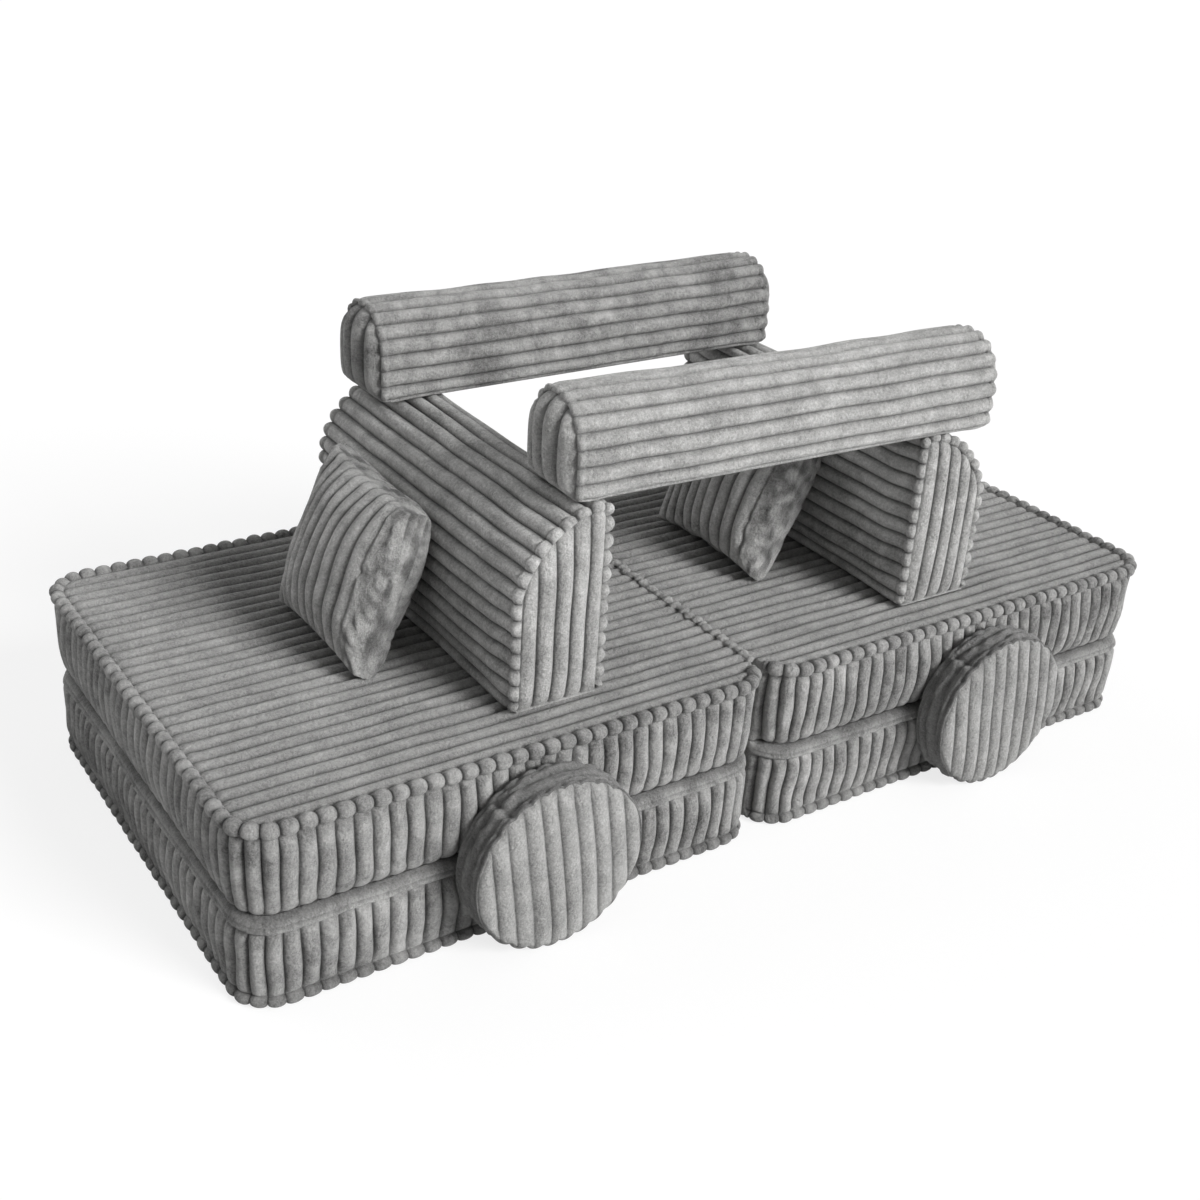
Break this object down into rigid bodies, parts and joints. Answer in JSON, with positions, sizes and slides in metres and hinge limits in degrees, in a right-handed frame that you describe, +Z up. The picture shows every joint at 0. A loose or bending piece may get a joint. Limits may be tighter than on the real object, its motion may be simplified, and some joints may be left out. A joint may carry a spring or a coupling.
{
  "type": "modular foam play sofa",
  "caption": "Low modular play sofa in ribbed plush: stacked folding mattresses with wedges, roof bars, pillows and wheel discs set up as a car.",
  "frame": {"origin": "middle of the footprint, on the floor; the joined edges of the mattresses lie on x = 0", "axes": "+X along the mattresses to the right, +Y from the wheel discs to the back, +Z up"},
  "size_m": [1.6586, 0.8414, 0.7081],
  "materials": {
    "plush": "wide-ribbed grey plush with a soft pile",
    "foam": "open-cell cushion foam",
    "fibre": "soft fibre filling",
    "zip": "woven zip tape with a coil chain",
    "slider": "satin grey zip slider"
  },
  "bodies": {
    "lower_left": {"pad_lower_left_cover": "plush", "pad_lower_left_foam": "foam", "pad_lower_left_zip": "zip", "hinge_seam_lower": "plush"},
    "lower_right": {"pad_lower_right_cover": "plush", "pad_lower_right_foam": "foam", "pad_lower_right_zip": "zip"},
    "upper": {"pad_upper_left_cover": "plush", "pad_upper_left_foam": "foam", "pad_upper_left_zip": "zip", "pad_upper_right_cover": "plush", "pad_upper_right_foam": "foam", "pad_upper_right_zip": "zip", "hinge_seam_upper": "plush"},
    "wedge_left": {"wedge_left_cover": "plush", "wedge_left_foam": "foam", "wedge_left_zip": "zip"},
    "wedge_right": {"wedge_right_cover": "plush", "wedge_right_foam": "foam", "wedge_right_zip": "zip"},
    "roof_bar_front": {"roof_bar_front_cover": "plush", "roof_bar_front_foam": "foam", "roof_bar_front_zip": "zip"},
    "roof_bar_back": {"roof_bar_back_cover": "plush", "roof_bar_back_foam": "foam", "roof_bar_back_zip": "zip"},
    "pillow_left": {"pillow_left_cover": "plush", "pillow_left_filling": "fibre", "pillow_left_zip": "zip"},
    "pillow_right": {"pillow_right_cover": "plush", "pillow_right_filling": "fibre", "pillow_right_zip": "zip"},
    "wheel_left": {"wheel_left_cover": "plush", "wheel_left_foam": "foam", "wheel_left_zip": "zip"},
    "wheel_right": {"wheel_right_cover": "plush", "wheel_right_foam": "foam", "wheel_right_zip": "zip"},
    "pad_lower_left_slider": {"pad_lower_left_zip_slider": "slider"},
    "pad_lower_right_slider": {"pad_lower_right_zip_slider": "slider"},
    "pad_upper_left_slider": {"pad_upper_left_zip_slider": "slider"},
    "pad_upper_right_slider": {"pad_upper_right_zip_slider": "slider"},
    "wedge_left_slider": {"wedge_left_zip_slider": "slider"},
    "wedge_right_slider": {"wedge_right_zip_slider": "slider"},
    "roof_bar_front_slider": {"roof_bar_front_zip_slider": "slider"},
    "roof_bar_back_slider": {"roof_bar_back_zip_slider": "slider"},
    "pillow_left_slider": {"pillow_left_zip_slider": "slider"},
    "pillow_right_slider": {"pillow_right_zip_slider": "slider"},
    "wheel_left_slider": {"wheel_left_zip_slider": "slider"},
    "wheel_right_slider": {"wheel_right_zip_slider": "slider"}
  },
  "joints": [
    {"name": "lower_fold", "type": "hinge", "parent": "lower_left", "child": "lower_right", "pos_m": [0, 0.03315, 0], "axis": [0, 1, 0], "range_deg": [0, 175]},
    {"name": "upper_lift", "type": "slide", "parent": "lower_left", "child": "upper", "axis": [0, 0, 1], "range_m": [0, 0.3]},
    {"name": "wedge_left_draw", "type": "slide", "parent": "upper", "child": "wedge_left", "axis": [0, -1, 0], "range_m": [0, 0.8]},
    {"name": "wedge_right_draw", "type": "slide", "parent": "upper", "child": "wedge_right", "axis": [0, -1, 0], "range_m": [0, 0.8]},
    {"name": "roof_bar_front_lift", "type": "slide", "parent": "upper", "child": "roof_bar_front", "axis": [0, 0, 1], "range_m": [0, 0.2]},
    {"name": "roof_bar_back_lift", "type": "slide", "parent": "upper", "child": "roof_bar_back", "axis": [0, 0, 1], "range_m": [0, 0.2]},
    {"name": "pillow_left_draw", "type": "slide", "parent": "upper", "child": "pillow_left", "axis": [0, -1, 0], "range_m": [0, 0.66]},
    {"name": "pillow_right_draw", "type": "slide", "parent": "upper", "child": "pillow_right", "axis": [0, -1, 0], "range_m": [0, 0.66]},
    {"name": "wheel_left_draw", "type": "slide", "parent": "lower_left", "child": "wheel_left", "axis": [0, -1, 0], "range_m": [0, 0.15]},
    {"name": "wheel_right_draw", "type": "slide", "parent": "lower_left", "child": "wheel_right", "axis": [0, -1, 0], "range_m": [0, 0.15]},
    {"name": "pad_lower_left_zip_slide", "type": "slide", "parent": "lower_left", "child": "pad_lower_left_slider", "axis": [0, 1, 0], "range_m": [0, 0.4865]},
    {"name": "pad_lower_right_zip_slide", "type": "slide", "parent": "lower_right", "child": "pad_lower_right_slider", "axis": [0, 1, 0], "range_m": [0, 0.4865]},
    {"name": "pad_upper_left_zip_slide", "type": "slide", "parent": "upper", "child": "pad_upper_left_slider", "axis": [0, 1, 0], "range_m": [0, 0.4865]},
    {"name": "pad_upper_right_zip_slide", "type": "slide", "parent": "upper", "child": "pad_upper_right_slider", "axis": [0, 1, 0], "range_m": [0, 0.4865]},
    {"name": "wedge_left_zip_slide", "type": "slide", "parent": "wedge_left", "child": "wedge_left_slider", "axis": [0, 1, 0], "range_m": [0, 0.4065]},
    {"name": "wedge_right_zip_slide", "type": "slide", "parent": "wedge_right", "child": "wedge_right_slider", "axis": [0, 1, 0], "range_m": [0, 0.4065]},
    {"name": "roof_bar_front_zip_slide", "type": "slide", "parent": "roof_bar_front", "child": "roof_bar_front_slider", "axis": [0.999, -0.0436, 0], "range_m": [0, 0.5265]},
    {"name": "roof_bar_back_zip_slide", "type": "slide", "parent": "roof_bar_back", "child": "roof_bar_back_slider", "axis": [1, 0, 0], "range_m": [0, 0.5265]},
    {"name": "pillow_left_zip_slide", "type": "slide", "parent": "pillow_left", "child": "pillow_left_slider", "axis": [0.3746, 0, 0.9272], "range_m": [0, 0.1365]},
    {"name": "pillow_right_zip_slide", "type": "slide", "parent": "pillow_right", "child": "pillow_right_slider", "axis": [0.454, 0, 0.891], "range_m": [0, 0.1365]},
    {"name": "wheel_left_zip_slide", "type": "slide", "parent": "wheel_left", "child": "wheel_left_slider", "axis": [1, 0, 0], "range_m": [0, 0.1365]},
    {"name": "wheel_right_zip_slide", "type": "slide", "parent": "wheel_right", "child": "wheel_right_slider", "axis": [1, 0, 0], "range_m": [0, 0.1365]}
  ]
}
